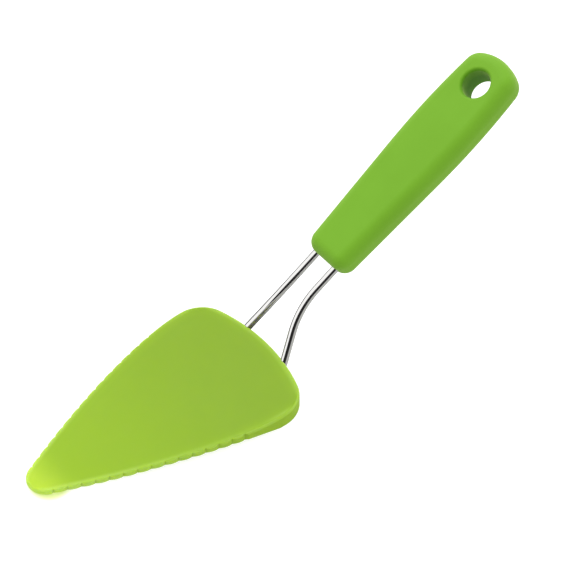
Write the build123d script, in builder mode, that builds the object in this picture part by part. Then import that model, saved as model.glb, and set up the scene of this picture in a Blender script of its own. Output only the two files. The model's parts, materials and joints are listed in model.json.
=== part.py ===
"""Pie server: a toothed, silicone-covered blade and a soft handle joined by one bent wire.

Millimetres, +Z up. The blade lies flat on Z = 0 with its tip towards -X, and the handle rises
towards +X. The origin is the middle of the footprint, on the surface that the blade lies on.
"""
import os
from math import cos, radians, sin, tan

from build123d import *

os.makedirs("parts", exist_ok=True)

# Shared fits
mould_gap = 0.05          # between a moulding and what it is moulded round
overrun = 1.0             # how far a cut runs past what it cuts

# Blade, seen from above
blade_length = 125.9
blade_width = 77.1
nose_radius = 8.9
edge_lead_deg = 24.6      # way the edge leaves the nose, from the long axis
side_run = 12.1           # straight stretch of each side, between the toothed edge and the heel's arc
edge_reach_shares = (0.534, 0.105)  # how far the edge keeps straight from each of its ends
corner_radius = 15.5
heel_radius = 90.0

# Blade, seen from the side
tip_thickness = 2.2
heel_thickness = 7.8
rim_round = 1.4
foot_round = 0.6

# Teeth and the bevel under them
tooth_count = 14
tooth_pitch = 6.1
tooth_depth = 1.0
crest_inset = 0.05
first_notch_gap = 1.3
edge_thickness = 2.1
bevel_deg = 27.0
bevel_height_shares = (1.0, 1.0, 1.0, 1.0, 0.85, 0.6, 0.0)   # at equal steps along the edge

# Stiff plate inside the blade
plate_inset = 7.0
plate_tip_gap = 20.0
plate_corner = 2.5
flank_shares = (0.05, 0.3, 0.55, 0.8, 1.0)   # places along the blade's edge that the plate follows
skin_over = 1.1
skin_under = 0.9

# Bent wire
wire_diameter = 3.5
wire_height = 2.9         # middle of the wire in the blade
loop_width = 28.6         # between the middles of the legs in the blade
loop_reach = 14.0         # from the heel to the closed end
loop_bend = 6.0
heel_inset = 2.8          # from the heel in to the corner of the bend at the loop's open end
heel_bend = 7.5
neck_width = 12.8         # between the middles of the legs at the handle
neck_run = 23.0           # from the handle to the corner of the bend before it
neck_bend = 44.0
wire_hold = 44.0          # length of each leg inside the handle
groove_count = 3
groove_width = 1.6
groove_depth = 0.3
groove_pitch = 5.0

# Handle
handle_gap = 32.8         # from the heel to the handle, along the blade
handle_rise = 37.7        # middle of the handle's front end, above the table
handle_pitch_deg = 31.4
handle_length = 116.3
handle_thickness = 13.8
handle_round = 5.5
front_width = 23.7
front_corner = 6.1
taper_length = 58.0       # straight stretch of the handle's sides, from the front
taper_width = 30.4        # where that stretch ends and the sides swell in a long arc
rear_width = 28.4         # where the rear arc starts
rear_bow = 5.2            # how far the rear arc stands out behind that place
rear_corner = 7.9
grip_wall = 2.4
hole_diameter = 13.2
hole_from_rear = 15.6
hole_round = 1.6
hole_wall = 1.8

# Places that follow from the sizes above
pitch_cos = cos(radians(handle_pitch_deg))
pitch_sin = sin(radians(handle_pitch_deg))
rear_x = (
    blade_length + handle_gap + (handle_length - handle_round) * pitch_cos
    + (handle_thickness / 2 - handle_round) * pitch_sin + handle_round
)
tip_x = -rear_x / 2
heel_x = tip_x + blade_length
front_x = heel_x + handle_gap
top_slope = (heel_thickness - tip_thickness) / blade_length
wire_radius = wire_diameter / 2
blade_plane = Plane(origin=(tip_x, 0, 0))
top_plane = Plane(origin=(tip_x, 0, tip_thickness), x_dir=(1, 0, top_slope), z_dir=(-top_slope, 0, 1))
handle_plane = Plane(
    origin=(front_x, 0, handle_rise), x_dir=(pitch_cos, 0, pitch_sin), z_dir=(-pitch_sin, 0, pitch_cos)
)


def top_height(x):
    """Height of the blade's top face at a distance x from its tip."""
    return tip_thickness + top_slope * x


def inward(line, distance, depth):
    """Point on the blade's left edge at a length along it, moved in square to it."""
    place = line.position_at(distance, position_mode=PositionMode.LENGTH)
    along = line.tangent_at(distance, position_mode=PositionMode.LENGTH)
    return place + Vector(along.Y, -along.X) * depth


# Outline of the blade: nose arc, toothed edge, rounded corner and heel arc, then the same mirrored
lead = Vector(1, 0).rotate(Axis.Z, edge_lead_deg)


def heel_corner(half_width, inset):
    """Point where a side meets the heel's arc, for an outline that lies in by an inset."""
    radius = heel_radius - inset
    return Vector(blade_length - heel_radius + (radius**2 - half_width**2) ** 0.5, half_width)


def heel_lines(start, inset):
    """From the widest point back to the heel's arc and along it to the middle of the heel."""
    corner = heel_corner(start.Y, inset)
    Line(start, corner)
    RadiusArc(corner, (blade_length - inset, 0), heel_radius - inset)


widest = heel_corner(blade_width / 2, 0) - Vector(side_run, 0)
reach = widest.length

with BuildSketch(Plane.XY) as outline:
    with BuildLine():
        nose = CenterArc((nose_radius, 0), nose_radius, 180, edge_lead_deg - 90)
        edge = Bezier(
            nose @ 1,
            nose @ 1 + lead * reach * edge_reach_shares[0],
            widest - Vector(reach * edge_reach_shares[1], 0),
            widest,
        )
        heel_lines(widest, 0)
        mirror(about=Plane.XZ)
    make_face()
    fillet(outline.vertices().group_by(Axis.X)[-1], corner_radius)

# Teeth: arcs that swell out to the edge between sharp notches, with a ramp out of the first and last
notches = [first_notch_gap + i * tooth_pitch for i in range(tooth_count + 1)]
with BuildSketch(blade_plane.offset(-overrun)) as tooth_space:
    with BuildLine():
        for start, end in zip(notches, notches[1:]):
            ThreePointArc(
                inward(edge, start, tooth_depth),
                inward(edge, (start + end) / 2, crest_inset),
                inward(edge, end, tooth_depth),
            )
        Polyline(
            inward(edge, notches[0], tooth_depth),
            inward(edge, 0, -overrun),
            *[inward(edge, notch, -overrun) for notch in notches[1:-1]],
            inward(edge, notches[-1] + tooth_pitch / 2, -overrun),
            inward(edge, notches[-1], tooth_depth),
        )
    make_face()

with BuildPart() as teeth_cut:
    add(tooth_space.sketch)
    extrude(amount=heel_thickness + 2 * overrun)
    mirror(about=Plane.XZ)

# Bevel under each edge: it leaves a thin rim along the teeth and runs out at the corner
bevel_step = edge.length / (len(bevel_height_shares) - 1)
bevel_slope = tan(radians(bevel_deg))
with BuildPart() as bevel_cut:
    for i, share in enumerate(bevel_height_shares):
        place = edge.position_at(i * bevel_step, position_mode=PositionMode.LENGTH)
        along = edge.tangent_at(i * bevel_step, position_mode=PositionMode.LENGTH)
        rise = share * max(top_height(place.X) - edge_thickness, 0)
        across = Plane(origin=place + Vector(tip_x, 0), x_dir=(-along.Y, along.X, 0), z_dir=along)
        with BuildSketch(across):
            with BuildLine():
                Polyline(
                    (-rise / bevel_slope - overrun, -overrun * bevel_slope),
                    (overrun, rise + overrun * bevel_slope),
                    (overrun, -overrun * bevel_slope),
                    close=True,
                )
            make_face()
    loft()
    mirror(about=Plane.XZ)


def wire_form(gap):
    """The bent wire, grown all round by a gap: a closed loop in the blade, two ends in the handle."""
    hold = handle_plane.from_local_coords((wire_hold + gap, 0, 0))
    bend = handle_plane.from_local_coords((-neck_run, 0, 0))
    leg = [
        Vector(hold.X, neck_width / 2, hold.Z),
        Vector(bend.X, neck_width / 2, bend.Z),
        Vector(heel_x - heel_inset, loop_width / 2, wire_height),
        Vector(heel_x - loop_reach, loop_width / 2, wire_height),
    ]
    other_leg = [Vector(point.X, -point.Y, point.Z) for point in reversed(leg)]
    bends = [neck_bend, heel_bend, loop_bend]
    with BuildPart() as form:
        with BuildLine() as route:
            FilletPolyline(*leg, *other_leg, radius=bends + bends[::-1])
        with BuildSketch(Plane(origin=route.line @ 0, z_dir=route.line % 0)):
            Circle(wire_radius + gap)
        sweep()
        for side in (-1, 1):
            for i in range(groove_count):
                depth = wire_hold - (i + 1) * groove_pitch + gap
                ring_centre = handle_plane.from_local_coords((depth, side * neck_width / 2, 0))
                with BuildSketch(Plane(ring_centre, z_dir=handle_plane.x_dir)):
                    Circle(wire_radius + gap + overrun)
                    Circle(wire_radius + gap - groove_depth, mode=Mode.SUBTRACT)
                extrude(amount=groove_width - 2 * gap, mode=Mode.SUBTRACT)
    return form.part


def plate_form(gap):
    """Outer form of the stiff plate in the blade, grown all round by a gap."""
    inset = plate_inset - gap
    with BuildPart() as form:
        with BuildSketch(blade_plane.offset(skin_under - gap)) as plate_outline:
            with BuildLine():
                flank = Spline(*[inward(edge, share * edge.length, inset) for share in flank_shares])
                Line(flank @ 0, Vector((flank @ 0).X, -(flank @ 0).Y))
                heel_lines(flank @ 1, inset)
                mirror(about=Plane.XZ)
            make_face()
            fillet(plate_outline.vertices().group_by(Axis.X)[-1], corner_radius - inset)
            with Locations((plate_tip_gap - gap, 0)):
                Rectangle(blade_length, blade_width, align=(Align.MIN, Align.CENTER), mode=Mode.INTERSECT)
            fillet(plate_outline.vertices().group_by(Axis.X)[0], plate_corner)
        extrude(amount=heel_thickness)
        split(bisect_by=top_plane.offset(gap - skin_over), keep=Keep.BOTTOM)
    return form.part


def handle_form(inset, hole_radius):
    """A handle shape that lies inside the grip's surface by an inset, with its hole."""
    front = Vector(inset, front_width / 2 - inset)
    rear = Vector(handle_length - rear_bow - inset, rear_width / 2 - inset)
    with BuildPart() as form:
        with BuildSketch(handle_plane) as handle_outline:
            with BuildLine():
                taper = Line(front, (taper_length, taper_width / 2 - inset))
                TangentArc(taper @ 1, rear, tangent=taper % 1)
                mirror(about=Plane.XZ)
                Line(front, (front.X, -front.Y))
                ThreePointArc(rear, (handle_length - inset, 0), (rear.X, -rear.Y))
            make_face()
            fillet(handle_outline.vertices().group_by(Axis.X)[0], front_corner - inset)
            fillet(handle_outline.vertices().group_by(Axis.X)[-1], rear_corner - inset)
        extrude(amount=handle_thickness / 2 - inset, both=True)
        flats = form.faces().filter_by(handle_plane)
        fillet(flats.edges(), handle_round - inset)
        with Locations(handle_plane.location * Location((handle_length - hole_from_rear, 0, 0))):
            Hole(hole_radius)
    return form.part


wire_space = wire_form(mould_gap)
plate_space = plate_form(mould_gap)
core_space = handle_form(grip_wall - mould_gap, hole_diameter / 2 + hole_wall - mould_gap)
plate = plate_form(0)
core = handle_form(grip_wall, hole_diameter / 2 + hole_wall)
grip = handle_form(0, hole_diameter / 2)
wire = wire_form(0)

with BuildPart() as wire_loop:
    add(wire)

with BuildPart() as blade_core:
    add(plate)
    add(wire_space, mode=Mode.SUBTRACT)

with BuildPart() as blade_skin:
    with BuildSketch(blade_plane):
        add(outline.sketch)
    extrude(amount=heel_thickness + overrun)
    split(bisect_by=top_plane, keep=Keep.BOTTOM)
    fillet(blade_skin.faces().sort_by(Axis.Z)[-1].edges(), rim_round)
    fillet(blade_skin.faces().sort_by(Axis.Z)[0].edges(), foot_round)
    add(teeth_cut.part, mode=Mode.SUBTRACT)
    add(bevel_cut.part, mode=Mode.SUBTRACT)
    add(plate_space, mode=Mode.SUBTRACT)
    add(wire_space, mode=Mode.SUBTRACT)

with BuildPart() as handle_core:
    add(core)
    add(wire_space, mode=Mode.SUBTRACT)

with BuildPart() as handle_grip:
    add(grip)
    fillet(handle_grip.edges().filter_by(GeomType.CIRCLE).filter_by(handle_plane), hole_round)
    add(core_space, mode=Mode.SUBTRACT)
    add(wire_space, mode=Mode.SUBTRACT)

pieces = {
    "blade_skin": blade_skin,
    "blade_core": blade_core,
    "wire_loop": wire_loop,
    "handle_core": handle_core,
    "handle_grip": handle_grip,
}
for label, piece in pieces.items():
    piece.part.label = label
    export_step(piece.part, f"parts/{label}.step")
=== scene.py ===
"""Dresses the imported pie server: silicone blade, polished wire, soft-touch handle, white studio."""
import json
from math import cos, radians, sin

import bmesh
import bpy
from bpy.props import FloatProperty, FloatVectorProperty, PointerProperty
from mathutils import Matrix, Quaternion, Vector


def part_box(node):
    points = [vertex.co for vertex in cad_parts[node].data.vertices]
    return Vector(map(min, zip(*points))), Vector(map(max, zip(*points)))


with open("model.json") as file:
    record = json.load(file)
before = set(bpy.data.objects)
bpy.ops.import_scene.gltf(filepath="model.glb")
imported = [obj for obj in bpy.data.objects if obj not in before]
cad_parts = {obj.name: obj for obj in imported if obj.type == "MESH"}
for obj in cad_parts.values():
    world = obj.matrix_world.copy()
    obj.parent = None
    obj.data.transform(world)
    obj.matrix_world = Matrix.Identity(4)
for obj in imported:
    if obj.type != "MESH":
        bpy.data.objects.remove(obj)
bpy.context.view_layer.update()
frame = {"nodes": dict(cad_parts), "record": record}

bl_info = {
    "name": "Pie Server Dresser",
    "version": (1, 0, 0),
    "blender": (4, 5, 0),
    "location": "3D View > Sidebar > Pie Server",
    "description": "Finishes, studio and camera for a silicone pie server with a wire neck",
    "category": "Object",
}

BLADE_LOW, BLADE_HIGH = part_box("blade_skin")

WHITE = (1.0, 1.0, 1.0)
BLACK = (0.0, 0.0, 0.0)

# Outline of the blade as shares: place along it from the tip, and half its width there.
# A new curve has the first and the last point already.
EDGE_SHARES = (
    (0.02, 0.16), (0.048, 0.22), (0.093, 0.286), (0.19, 0.422), (0.292, 0.554),
    (0.397, 0.678), (0.5, 0.787), (0.608, 0.883), (0.716, 0.958), (0.826, 1.0),
)

# Zones of the blade, also of its painted highlights. A share is a place along it, from 0 at the tip
# to 1 at the heel. Upright is the Z of the surface's normal, from 0 on a wall to 1 on a level face.
CORNER_BLEND = 0.004                     # rounds the outline where the edges meet the heel
PLATE_AT_EDGE = 0.5                      # how much of the plate's colour is left at the outline
PLATE_SHARE = 0.9                        # where the plate's colour has come in fully
HEEL_SHARES = 0.7, 0.9                   # where the painted highlight band inside the heel fades in
HEEL_RIM = 0.001                         # the painted band is full from the outline to this far inside it
WALL_UPRIGHT, RIM_UPRIGHT = 0.1, 0.5     # from a wall, with its painted light, to the rounded rim with its painted highlight
RIM_END_UPRIGHT, TOP_UPRIGHT = 0.92, 0.995     # from the rounded rim to the top
GLOW_BY_COLOR = (1.0, 1.2, 0.15)         # how far red, green and blue light go in the silicone

# Moulded and drawn surfaces
PATCH_STEP = 0.3, 0.7                    # noise below is one kind of patch, noise above the other
STEEL_PATCH, SOFT_PATCH = 0.96, 0.95     # least share of the colour from patch to patch
HIDDEN_ROUGHNESS, HIDDEN_GRAIN = 0.5, 0.0005     # of the two stiff pieces inside

# Painted shade in the hanging hole: lengths outside its radius, and along its axis from the mount's
# middle
HOLE_FADE, HOLE_FULL = 0.0014, 0.0001
HOLE_MOUTH, HOLE_DEEP = 0.0025, 0.0

# The studio
FLOOR_DROP = 0.00002                     # keeps the floor off the blade's underside
GLOW_CORE = 0.6                          # share of the painted lit patch's radius that is painted fully lit
NEAR_FAR_STEP = 0.01                     # half the width between the two halves of the floor's painted reflection
DARK_WAY = radians(-40), radians(15)     # azimuth and elevation of the dark room's middle
DARK_EDGE, DARK_FULL = radians(45), radians(36)     # angles from that middle
HORIZON_LEVEL = 0.26, 0.1                # height of the dim band round the horizon
HORIZON_SIDES = 0.86, 0.95               # that band lies only to the two sides, near the Y axis
HORIZON_DIM = 0.8                        # how dark the band is, next to the dark room
KEY_WAY = radians(168), radians(60)      # azimuth and elevation of each softbox
FILL_WAY = radians(35), radians(25)
SOFTBOX_DISTANCE = 1.6


class BladeSettings(bpy.types.PropertyGroup):
    """Finish of the silicone skin, with painted highlights, painted light through its thin edges and
    painted shade for the wire's reflections.
    """
    plate_color: FloatVectorProperty(
        name="Over the plate", description="Colour of the silicone over the plate, at the heel",
        subtype="COLOR", default=(0.163, 0.272, 0.013))
    # Towards the edges and the tip the colour is lighter, partly as clear silicone and partly as
    # painted light shining through it.
    edge_color: FloatVectorProperty(
        name="At the edges", description="Colour of the silicone towards the edges and the tip",
        subtype="COLOR", default=(0.207, 0.338, 0.011))
    # Painted highlight colour, laid on the rim, the walls, the toothed edges and a band inside the
    # heel.
    rim_color: FloatVectorProperty(
        name="On the rim", description="Colour of silicone that the light fills, as on its rim",
        subtype="COLOR", default=(0.43, 0.6, 0.14))
    tip_color: FloatVectorProperty(
        name="At the tip", description="Colour of the thin silicone at the tip",
        subtype="COLOR", default=(0.335, 0.475, 0.027))
    # Painted shade: the silicone's colour as the wire's reflections show it.
    mirror_shade_color: FloatVectorProperty(
        name="In the steel", description="Colour of the shaded silicone that the wire reflects",
        subtype="COLOR", default=(0.085, 0.09, 0.055))
    # Painted highlights: shares of the highlight colour on the rim, the walls, the toothed edges and
    # the band inside the heel, and the widths of those bands.
    rim_light: FloatProperty(
        name="Rim light", description="Share of the rim's colour on the rounded rim",
        subtype="FACTOR", min=0, max=1, default=0.28)
    wall_light: FloatProperty(
        name="Wall light", description="Share of the rim's colour on the upright walls",
        subtype="FACTOR", min=0, max=1, default=0.06)
    edge_light: FloatProperty(
        name="Edge light", description="Share of the rim's colour along the edges near the tip",
        subtype="FACTOR", min=0, max=1, default=0.5)
    heel_light: FloatProperty(
        name="Heel light", description="Share of the rim's colour in the band inside the heel",
        subtype="FACTOR", min=0, max=1, default=0.2)
    heel_band: FloatProperty(
        name="Heel band", description="Width of the soft band inside the heel's edge",
        subtype="DISTANCE", unit="LENGTH", default=0.0035)
    edge_band: FloatProperty(
        name="Edge band", description="Width of the lit band along the toothed edges",
        subtype="DISTANCE", unit="LENGTH", default=0.0035)
    glow_depth: FloatProperty(
        name="Glow depth", description="How far light travels in the silicone",
        subtype="DISTANCE", unit="LENGTH", default=0.001)
    border: FloatProperty(
        name="Border", description="Width over which the plate's colour comes in from the outline",
        subtype="DISTANCE", unit="LENGTH", default=0.007)
    tip_border: FloatProperty(
        name="Tip border", description="Length over which the tip's colour fades out",
        subtype="DISTANCE", unit="LENGTH", default=0.026)
    heel_radius: FloatProperty(
        name="Heel radius", description="Radius of the blade's heel, seen from above",
        subtype="DISTANCE", unit="LENGTH", default=0.09)
    roughness: FloatProperty(
        name="Roughness", description="Roughness of the silicone",
        subtype="FACTOR", min=0, max=1, default=0.42)


class WireSettings(bpy.types.PropertyGroup):
    """Finish of the bent wire."""
    steel_color: FloatVectorProperty(
        name="Steel", description="Colour of the polished steel",
        subtype="COLOR", default=(0.78, 0.772, 0.758))
    roughness: FloatProperty(
        name="Roughness", description="Roughness of the steel",
        subtype="FACTOR", min=0, max=1, default=0.07)


class GripSettings(bpy.types.PropertyGroup):
    """Finish of the handle, with painted shade in its hanging hole."""
    grip_color: FloatVectorProperty(
        name="Grip", description="Colour of the soft-touch grip",
        subtype="COLOR", default=(0.11, 0.268, 0.0105))
    # Painted shade on the wall of the hanging hole, darker lower down.
    hole_shade_color: FloatVectorProperty(
        name="Hole", description="Colour of the grip on the wall of the hanging hole",
        subtype="COLOR", default=(0.07, 0.215, 0.002))
    hole_deep_shade_color: FloatVectorProperty(
        name="Deep in the hole", description="Colour of the grip lower down in the hanging hole",
        subtype="COLOR", default=(0.048, 0.19, 0.0))
    core_color: FloatVectorProperty(
        name="Core", description="Colour of the stiff plastic inside",
        subtype="COLOR", default=(0.09, 0.22, 0.01))
    grain_size: FloatProperty(
        name="Grain size", description="Size of the fine moulded grain",
        subtype="DISTANCE", unit="LENGTH", default=0.00035)
    roughness: FloatProperty(
        name="Roughness", description="Roughness of the grip",
        subtype="FACTOR", min=0, max=1, default=0.6)


class StudioSettings(bpy.types.PropertyGroup):
    """Floor, light and camera."""
    floor_color: FloatVectorProperty(
        name="Floor", description="Colour of the studio floor",
        subtype="COLOR", default=(0.35, 0.35, 0.35))
    # Painted reflection: the floor as the steel shows it, dark on the far half.
    near_mirror_shade_color: FloatVectorProperty(
        name="Near side", description="Colour of the near half of the floor, as the steel shows it",
        subtype="COLOR", default=(0.32, 0.32, 0.31))
    far_mirror_shade_color: FloatVectorProperty(
        name="Far side", description="Colour of the far half of the floor, as the steel shows it",
        subtype="COLOR", default=(0.05, 0.05, 0.05))
    floor_glow: FloatProperty(
        name="Floor glow", description="Brightness of the lit table under the floor's paper",
        default=0.75)
    # Painted light: a green patch on the floor by the blade's tip, for the camera only.
    tip_glow: FloatVectorProperty(
        name="Glow by the tip", description="Colour of the light through the blade's thin tip",
        subtype="COLOR", default=(0.68, 0.78, 0.32))
    glow_inset: FloatProperty(
        name="Glow inset", description="Length from the blade's tip to the middle of the lit patch",
        subtype="DISTANCE", unit="LENGTH", default=0.0085)
    glow_aside: FloatProperty(
        name="Glow aside", description="How far the lit patch is off to the near side",
        subtype="DISTANCE", unit="LENGTH", default=0.003)
    glow_reach: FloatProperty(
        name="Glow reach", description="Radius of the lit patch of floor",
        subtype="DISTANCE", unit="LENGTH", default=0.0112)
    floor_size: FloatProperty(
        name="Floor size", description="Length of each side of the floor",
        subtype="DISTANCE", unit="LENGTH", default=6.0)
    dome_strength: FloatProperty(
        name="Dome", description="Brightness of the studio's white walls", default=1.22)
    dark_strength: FloatProperty(
        name="Dark side", description="Brightness of the room behind the camera", default=0.02)
    softbox_power: FloatProperty(
        name="Softbox", description="Power of the large softbox",
        subtype="POWER", unit="POWER", default=22.0)
    fill_power: FloatProperty(
        name="Fill", description="Power of the weak softbox at the front right",
        subtype="POWER", unit="POWER", default=5.0)
    softbox_size: FloatProperty(
        name="Softbox size", description="Length of each side of both softboxes",
        subtype="DISTANCE", unit="LENGTH", default=1.3)
    azimuth: FloatProperty(
        name="Azimuth", description="Way the camera looks round the object",
        subtype="ANGLE", unit="ROTATION", default=radians(-37.235))
    elevation: FloatProperty(
        name="Elevation", description="Height of the camera above the horizon",
        subtype="ANGLE", unit="ROTATION", default=radians(46.291))
    roll: FloatProperty(
        name="Roll", description="Turn of the camera about its own line of sight",
        subtype="ANGLE", unit="ROTATION", default=radians(-0.555))
    distance: FloatProperty(
        name="Distance", description="Length from the camera to its aim",
        subtype="DISTANCE", unit="LENGTH", default=1.16437)
    aim: FloatVectorProperty(
        name="Aim", description="Point that the camera looks at",
        subtype="TRANSLATION", unit="LENGTH", default=(0.01754, 0.01226, 0.01776))
    lens: FloatProperty(name="Lens", description="Focal length in millimetres", default=164.304)


GROUPS = {
    "server_blade": BladeSettings,
    "server_wire": WireSettings,
    "server_grip": GripSettings,
    "server_studio": StudioSettings,
}


class Nodes:
    """Short ways to place and join nodes in one tree."""

    def __init__(self, tree):
        self.tree = tree

    def add(self, kind, settings=None, **inputs):
        """Places a node, sets its settings and its inputs: a value, or another node's output."""
        node = self.tree.nodes.new(kind)
        for name, value in (settings or {}).items():
            setattr(node, name, value)
        for name, value in inputs.items():
            self.put(node.inputs[name.replace("_", " ")], value)
        return node

    def put(self, socket, value):
        """Sets a socket to a value or joins an output to it."""
        if isinstance(value, bpy.types.NodeSocket):
            self.tree.links.new(value, socket)
        elif socket.type == "RGBA":
            socket.default_value = (*value[:3], 1)
        else:
            socket.default_value = value

    def combine(self, kind, operation, values):
        """Outputs of a node that does one operation on values in order."""
        node = self.add(kind, {"operation": operation})
        for socket, value in zip(node.inputs, values):
            self.put(socket, value)
        return node.outputs

    def math(self, operation, *values):
        """Output of a Math node."""
        return self.combine("ShaderNodeMath", operation, values)["Value"]

    def vector(self, operation, *values):
        """Output of a Vector Math node that gives a vector."""
        return self.combine("ShaderNodeVectorMath", operation, values)["Vector"]

    def measure(self, operation, *values):
        """Output of a Vector Math node that gives a number, such as a distance."""
        return self.combine("ShaderNodeVectorMath", operation, values)["Value"]

    def parts(self, vector):
        """X, Y and Z of a vector."""
        return self.add("ShaderNodeSeparateXYZ", Vector=vector).outputs

    def smooth(self, value, low, high):
        """0 at low, 1 at high and a soft step between them. High may be the smaller one."""
        node = self.add("ShaderNodeMapRange", {"interpolation_type": "SMOOTHSTEP"}, Value=value)
        self.put(node.inputs["From Min"], low)
        self.put(node.inputs["From Max"], high)
        return node.outputs["Result"]

    def mix(self, share, first, second):
        """Colour between two colours."""
        node = self.add("ShaderNodeMix", {"data_type": "RGBA"})
        self.put(node.inputs["Factor"], share)
        for name, value in (("A", first), ("B", second)):
            self.put([s for s in node.inputs if s.name == name and s.type == "RGBA"][0], value)
        return [s for s in node.outputs if s.type == "RGBA"][0]


def moulded_grain():
    """Group that gives a fine grain's height and a share that goes from patch to patch."""
    name = "Moulded grain"
    if name in bpy.data.node_groups:
        return bpy.data.node_groups[name]
    tree = bpy.data.node_groups.new(name, "ShaderNodeTree")
    for label, value in (("Grain size", 0.0004), ("Patch size", 0.03)):
        socket = tree.interface.new_socket(label, in_out="INPUT", socket_type="NodeSocketFloat")
        socket.default_value = value
    for label in ("Height", "Patch"):
        tree.interface.new_socket(label, in_out="OUTPUT", socket_type="NodeSocketFloat")
    source = tree.nodes.new("NodeGroupInput").outputs
    sink = tree.nodes.new("NodeGroupOutput").inputs
    n = Nodes(tree)
    place = n.add("ShaderNodeTexCoord").outputs["Object"]
    fine = n.add("ShaderNodeTexNoise", Vector=place, Detail=2.0, Roughness=0.6,
                 Scale=n.math("DIVIDE", 1.0, source["Grain size"]))
    patch = n.add("ShaderNodeTexNoise", Vector=place, Detail=3.0, Roughness=0.55,
                  Scale=n.math("DIVIDE", 1.0, source["Patch size"]))
    n.put(sink["Height"], fine.outputs[0])
    n.put(sink["Patch"], n.smooth(patch.outputs[0], *PATCH_STEP))
    return tree


def new_material(name, **shader):
    """A material with one Principled shader set to plain values, and its nodes' helper."""
    material = bpy.data.materials.new(name)
    material.use_nodes = True
    n = Nodes(material.node_tree)
    principled = material.node_tree.nodes["Principled BSDF"]
    for label, value in shader.items():
        n.put(principled.inputs[label.replace("_", " ")], value)
    return material, n, principled


def grained(n, principled, roughness, grain_size, depth, spread):
    """Gives a shader a fine grain and an uneven roughness, and returns the patches' share."""
    group = n.add("ShaderNodeGroup", {"node_tree": moulded_grain()}, Grain_size=grain_size).outputs
    bump = n.add("ShaderNodeBump", Strength=1.0, Distance=depth, Height=group["Height"])
    n.put(principled.inputs["Normal"], bump.outputs["Normal"])
    varied = n.math("MULTIPLY_ADD", group["Patch"], spread, roughness - spread / 2)
    n.put(principled.inputs["Roughness"], varied)
    return group["Patch"]


def uneven_tint(n, patch, color, least):
    """A colour that goes down to its least share from patch to patch."""
    return n.mix(patch, color, [least * c for c in color])


def gap_inside(n, place, share, heel_radius):
    """How far a point of the blade lies inside its outline, seen from above."""
    parts = n.parts(place)
    outline = n.add("ShaderNodeFloatCurve", Value=share)
    for x, y in EDGE_SHARES:
        outline.mapping.curves[0].points.new(x, y)
    outline.mapping.update()
    half_width = n.math("MULTIPLY", outline.outputs["Value"], BLADE_HIGH.y)
    edge_gap = n.math("SUBTRACT", half_width, n.math("ABSOLUTE", parts["Y"]))
    flat_place = n.add("ShaderNodeCombineXYZ", X=parts["X"], Y=parts["Y"]).outputs["Vector"]
    heel_centre = (BLADE_HIGH.x - heel_radius, 0.0, 0.0)
    heel_gap = n.math("SUBTRACT", heel_radius, n.measure("DISTANCE", flat_place, heel_centre))
    return n.math("SMOOTH_MIN", edge_gap, heel_gap, CORNER_BLEND)


def silicone_body(n, from_tip, share, gap, settings):
    """Colour of the silicone: deepest over the plate, lighter and yellower at the edges and the tip,
    partly as clear silicone and partly as painted light shining through it.
    """
    # Away from the plate the silicone is lighter, partly as clear silicone and partly as painted
    # light shining through it.
    inside = n.smooth(gap, 0.0, settings.border)
    inside = n.math("MULTIPLY_ADD", inside, 1 - PLATE_AT_EDGE, PLATE_AT_EDGE)
    over_plate = n.math("MULTIPLY", inside, n.smooth(share, 0.0, PLATE_SHARE))
    towards_tip = n.smooth(from_tip, settings.tip_border, 0.0)
    towards_tip = n.math("MULTIPLY", towards_tip, towards_tip)
    clear = n.mix(towards_tip, settings.edge_color, settings.tip_color)
    return n.mix(over_plate, clear, settings.plate_color)


def silicone_light(n, share, gap, upright, settings):
    """Share of the painted highlight colour: on the rim, the walls, the toothed edges and inside the
    heel.
    """
    off_wall = n.smooth(upright, WALL_UPRIGHT, RIM_UPRIGHT)
    on_wall = n.smooth(upright, RIM_UPRIGHT, WALL_UPRIGHT)
    on_rim = n.math("MULTIPLY", off_wall, n.smooth(upright, TOP_UPRIGHT, RIM_END_UPRIGHT))
    by_edge = n.math("MULTIPLY", n.smooth(gap, settings.edge_band, 0.0), n.smooth(share, 1.0, 0.0))
    by_heel = n.smooth(gap, settings.heel_band, HEEL_RIM)
    by_heel = n.math("MULTIPLY", by_heel, n.smooth(share, *HEEL_SHARES))
    by_heel = n.math("MULTIPLY", by_heel, off_wall)
    light = n.math("MULTIPLY", on_rim, settings.rim_light)
    for zone, strength in ((on_wall, settings.wall_light), (by_edge, settings.edge_light),
                           (by_heel, settings.heel_light)):
        light = n.math("MAXIMUM", light, n.math("MULTIPLY", zone, strength))
    return light


def silicone(settings):
    """Translucent silicone with painted highlights and painted light through its edges and tip; the
    wire's reflections show it in a painted dark shade.
    """
    material, n, principled = new_material(
        "silicone", Subsurface_Weight=1.0, Subsurface_Scale=settings.glow_depth,
        Subsurface_Radius=GLOW_BY_COLOR, IOR=1.41, Specular_IOR_Level=0.1)
    grained(n, principled, settings.roughness, grain_size=0.0003, depth=0.00001, spread=0.06)
    surface = n.add("ShaderNodeTexCoord").outputs
    place, upright = surface["Object"], n.parts(surface["Normal"])["Z"]
    from_tip = n.math("SUBTRACT", n.parts(place)["X"], BLADE_LOW.x)
    share = n.math("DIVIDE", from_tip, BLADE_HIGH.x - BLADE_LOW.x)
    gap = gap_inside(n, place, share, settings.heel_radius)
    body = silicone_body(n, from_tip, share, gap, settings)
    light = silicone_light(n, share, gap, upright, settings)
    # Painted highlights over the silicone's colour.
    seen = n.mix(light, body, settings.rim_color)
    # For the wire's reflections the silicone is painted in a dark shade.
    in_steel = n.add("ShaderNodeLightPath").outputs["Is Glossy Ray"]
    n.put(principled.inputs["Base Color"], n.mix(in_steel, seen, settings.mirror_shade_color))
    return material


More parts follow.
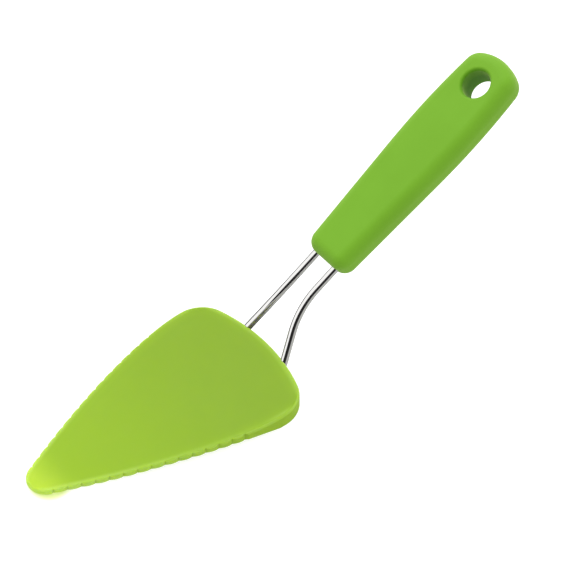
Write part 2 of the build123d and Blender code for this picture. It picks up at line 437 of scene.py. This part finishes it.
def steel(settings):
    """Polished steel, a little uneven in tint and gloss."""
    material, n, principled = new_material("polished_steel", Metallic=1.0)
    patch = grained(
        n, principled, settings.roughness, grain_size=0.0006, depth=0.0000012, spread=0.04)
    tint = uneven_tint(n, patch, settings.steel_color, STEEL_PATCH)
    n.put(principled.inputs["Base Color"], tint)
    return material


def soft_touch(name, color, roughness, grain_size):
    """Matte moulded rubber or plastic, and its nodes' helper, its shader and its tint."""
    material, n, principled = new_material(
        name, Specular_IOR_Level=0.12, Sheen_Weight=0.26, Sheen_Roughness=0.5,
        Sheen_Tint=(0.85, 1.0, 0.4))
    patch = grained(n, principled, roughness, grain_size, depth=0.00002, spread=0.08)
    tint = uneven_tint(n, patch, color, SOFT_PATCH)
    n.put(principled.inputs["Base Color"], tint)
    return material, n, principled, tint


def hidden_plastic(name, color):
    """Plastic of the stiff pieces inside the blade and the handle."""
    return soft_touch(name, color, HIDDEN_ROUGHNESS, HIDDEN_GRAIN)[0]


def soft_grip(settings):
    """Soft-touch rubber with painted shade on the wall of the hanging hole, darker further in."""
    material, n, principled, tint = soft_touch(
        "soft_grip", settings.grip_color, settings.roughness, settings.grain_size)
    hole = [mount for mount in frame["record"]["mounts"] if mount["name"] == "hang_hole"][0]
    radius = hole["dims"]["r_mm"] / 1000
    place = n.add("ShaderNodeTexCoord").outputs["Object"]
    from_hole = n.vector("SUBTRACT", place, hole["pos_m"])
    from_axis = n.measure("LENGTH", n.vector("CROSS_PRODUCT", from_hole, hole["axis"]))
    along_axis = n.measure("DOT_PRODUCT", from_hole, hole["axis"])
    # Painted shade on the hole's wall, darker deeper in.
    on_wall = n.smooth(from_axis, radius + HOLE_FADE, radius + HOLE_FULL)
    deep = n.smooth(along_axis, HOLE_MOUTH, HOLE_DEEP)
    wall = n.mix(deep, settings.hole_shade_color, settings.hole_deep_shade_color)
    n.put(principled.inputs["Base Color"], n.mix(on_wall, tint, wall))
    return material


def finish_node(name, material):
    """Gives a CAD node its one material."""
    node = frame["nodes"][name]
    node.data.materials.clear()
    node.data.materials.append(material)


class PIESERVER_OT_blade_skin(bpy.types.Operator):
    """Give the blade's skin its translucent silicone"""
    bl_idname = "pie_server.blade_skin"
    bl_label = "Silicone Skin"

    def execute(self, context):
        finish_node("blade_skin", silicone(context.scene.server_blade))
        return {"FINISHED"}


class PIESERVER_OT_blade_core(bpy.types.Operator):
    """Give the stiff plate in the blade its moulded plastic"""
    bl_idname = "pie_server.blade_core"
    bl_label = "Blade Plate"

    def execute(self, context):
        settings = context.scene.server_blade
        finish_node("blade_core", hidden_plastic("plate_plastic", settings.plate_color))
        return {"FINISHED"}


class PIESERVER_OT_wire_loop(bpy.types.Operator):
    """Give the bent wire its polished steel"""
    bl_idname = "pie_server.wire_loop"
    bl_label = "Steel Wire"

    def execute(self, context):
        finish_node("wire_loop", steel(context.scene.server_wire))
        return {"FINISHED"}


class PIESERVER_OT_handle(bpy.types.Operator):
    """Give the handle its soft-touch grip and the stiff core inside it"""
    bl_idname = "pie_server.handle"
    bl_label = "Soft Handle"

    def execute(self, context):
        settings = context.scene.server_grip
        finish_node("handle_grip", soft_grip(settings))
        finish_node("handle_core", hidden_plastic("core_plastic", settings.core_color))
        return {"FINISHED"}


def floor_paper(settings):
    """White paper with an even glow, a painted patch of green light by the tip for the camera, and a
    painted dark reflection of its far half in the steel. It is clear from below, to show the object.
    """
    material, n, principled = new_material(
        "floor_paper", Roughness=0.9, Specular_IOR_Level=0.2,
        Emission_Strength=settings.floor_glow)
    ray = n.add("ShaderNodeLightPath").outputs
    place = n.add("ShaderNodeTexCoord").outputs["Object"]
    # Painted patch of green light by the tip, for the camera only.
    glow_middle = (BLADE_LOW.x + settings.glow_inset, -settings.glow_aside, 0.0)
    from_glow = n.measure("DISTANCE", place, glow_middle)
    painted_tip_glow = n.smooth(from_glow, settings.glow_reach, GLOW_CORE * settings.glow_reach)
    painted_tip_glow = n.math("MULTIPLY", painted_tip_glow, ray["Is Camera Ray"])
    lit = n.mix(painted_tip_glow, WHITE, settings.tip_glow)
    # Painted reflection: the steel sees the floor without its glow and with a dark far half.
    far = n.smooth(n.parts(place)["Y"], -NEAR_FAR_STEP, NEAR_FAR_STEP)
    mirrored = n.mix(far, settings.near_mirror_shade_color, settings.far_mirror_shade_color)
    paper = n.mix(ray["Is Glossy Ray"], settings.floor_color, mirrored)
    n.put(principled.inputs["Base Color"], n.vector("MULTIPLY", paper, lit))
    n.put(principled.inputs["Emission Color"], n.mix(ray["Is Glossy Ray"], lit, BLACK))
    clear = n.add("ShaderNodeBsdfTransparent")
    sides = n.add("ShaderNodeMixShader", Fac=n.add("ShaderNodeNewGeometry").outputs["Backfacing"])
    n.put(sides.inputs[1], principled.outputs["BSDF"])
    n.put(sides.inputs[2], clear.outputs["BSDF"])
    n.put(material.node_tree.nodes["Material Output"].inputs["Surface"], sides.outputs["Shader"])
    return material


def studio_floor(settings):
    """Square floor just under the blade."""
    mesh = bpy.data.meshes.new("studio_floor")
    shape = bmesh.new()
    bmesh.ops.create_grid(shape, x_segments=1, y_segments=1, size=settings.floor_size / 2)
    shape.to_mesh(mesh)
    shape.free()
    mesh.materials.append(floor_paper(settings))
    floor = bpy.data.objects.new("studio_floor", mesh)
    floor.location.z = -FLOOR_DROP
    bpy.context.scene.collection.objects.link(floor)


def direction(azimuth, elevation):
    """Way from the object towards an azimuth, which is 0 at the -Y side, and an elevation."""
    return Vector((
        sin(azimuth) * cos(elevation), -cos(azimuth) * cos(elevation), sin(elevation)))


def studio_dome(settings):
    """White walls all round, with the dark room behind the camera, which the steel reflects."""
    world = bpy.data.worlds.new("studio_dome")
    bpy.context.scene.world = world
    world.use_nodes = True
    n = Nodes(world.node_tree)
    background = world.node_tree.nodes["Background"].inputs
    way = n.add("ShaderNodeTexCoord").outputs["Generated"]
    facing = n.measure("DOT_PRODUCT", way, direction(*DARK_WAY))
    dark = n.smooth(facing, cos(DARK_EDGE), cos(DARK_FULL))
    parts = n.parts(way)
    horizon = n.math(
        "MULTIPLY", n.smooth(n.math("ABSOLUTE", parts["Z"]), *HORIZON_LEVEL),
        n.smooth(n.math("ABSOLUTE", parts["Y"]), *HORIZON_SIDES))
    dark = n.math("MAXIMUM", dark, n.math("MULTIPLY", horizon, HORIZON_DIM))
    ray = n.add("ShaderNodeLightPath").outputs
    mirrored = n.math("MULTIPLY", dark, ray["Is Glossy Ray"])
    bright = n.math("MULTIPLY_ADD", mirrored, settings.dark_strength - settings.dome_strength,
                    settings.dome_strength)
    n.put(background["Strength"], n.math("MAXIMUM", bright, ray["Is Camera Ray"]))
    n.put(background["Color"], WHITE)


def softbox(name, way, size, power):
    """Square area light that faces the object."""
    data = bpy.data.lights.new(name, "AREA")
    data.size = size
    data.energy = power
    lamp = bpy.data.objects.new(name, data)
    away = direction(*way)
    lamp.location = away * SOFTBOX_DISTANCE
    lamp.rotation_mode = "QUATERNION"
    lamp.rotation_quaternion = away.to_track_quat("Z", "Y")
    bpy.context.scene.collection.objects.link(lamp)


def studio_camera(settings):
    """Camera at the photograph's viewing angle."""
    data = bpy.data.cameras.new("studio_camera")
    data.lens = settings.lens
    data.sensor_width = 36.0
    data.clip_start, data.clip_end = 0.05, 50.0
    camera = bpy.data.objects.new("studio_camera", data)
    away = direction(settings.azimuth, settings.elevation)
    camera.location = Vector(settings.aim) + away * settings.distance
    camera.rotation_mode = "QUATERNION"
    camera.rotation_quaternion = (
        away.to_track_quat("Z", "Y") @ Quaternion((0, 0, 1), settings.roll))
    bpy.context.scene.collection.objects.link(camera)
    bpy.context.scene.camera = camera


class PIESERVER_OT_studio(bpy.types.Operator):
    """Set up the white floor, the light and the camera"""
    bl_idname = "pie_server.studio"
    bl_label = "White Studio"

    def execute(self, context):
        settings = context.scene.server_studio
        studio_floor(settings)
        studio_dome(settings)
        softbox("key_softbox", KEY_WAY, settings.softbox_size, settings.softbox_power)
        softbox("fill_softbox", FILL_WAY, settings.softbox_size, settings.fill_power)
        studio_camera(settings)
        context.scene.view_settings.view_transform = "Standard"
        return {"FINISHED"}


OPERATORS = (
    PIESERVER_OT_blade_skin,
    PIESERVER_OT_blade_core,
    PIESERVER_OT_wire_loop,
    PIESERVER_OT_handle,
    PIESERVER_OT_studio,
)


class PIESERVER_PT_panel(bpy.types.Panel):
    """Buttons and settings for the pie server"""
    bl_label = "Pie Server"
    bl_idname = "PIESERVER_PT_panel"
    bl_space_type = "VIEW_3D"
    bl_region_type = "UI"
    bl_category = "Pie Server"

    def draw(self, context):
        for operator in OPERATORS:
            self.layout.operator(operator.bl_idname)
        for name, group in GROUPS.items():
            box = self.layout.box()
            for label in group.__annotations__:
                box.prop(getattr(context.scene, name), label)


CLASSES = (*GROUPS.values(), *OPERATORS, PIESERVER_PT_panel)


def register():
    """Registers the classes and gives the scene their settings."""
    for cls in CLASSES:
        bpy.utils.register_class(cls)
    for name, group in GROUPS.items():
        setattr(bpy.types.Scene, name, PointerProperty(type=group))


def unregister():
    """Takes the settings and the classes away again."""
    for name in GROUPS:
        delattr(bpy.types.Scene, name)
    for cls in reversed(CLASSES):
        bpy.utils.unregister_class(cls)


def main():
    """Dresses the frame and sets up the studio."""
    register()
    bpy.ops.pie_server.blade_skin()
    bpy.ops.pie_server.blade_core()
    bpy.ops.pie_server.wire_loop()
    bpy.ops.pie_server.handle()
    bpy.ops.pie_server.studio()


if __name__ == "__main__":
    main()
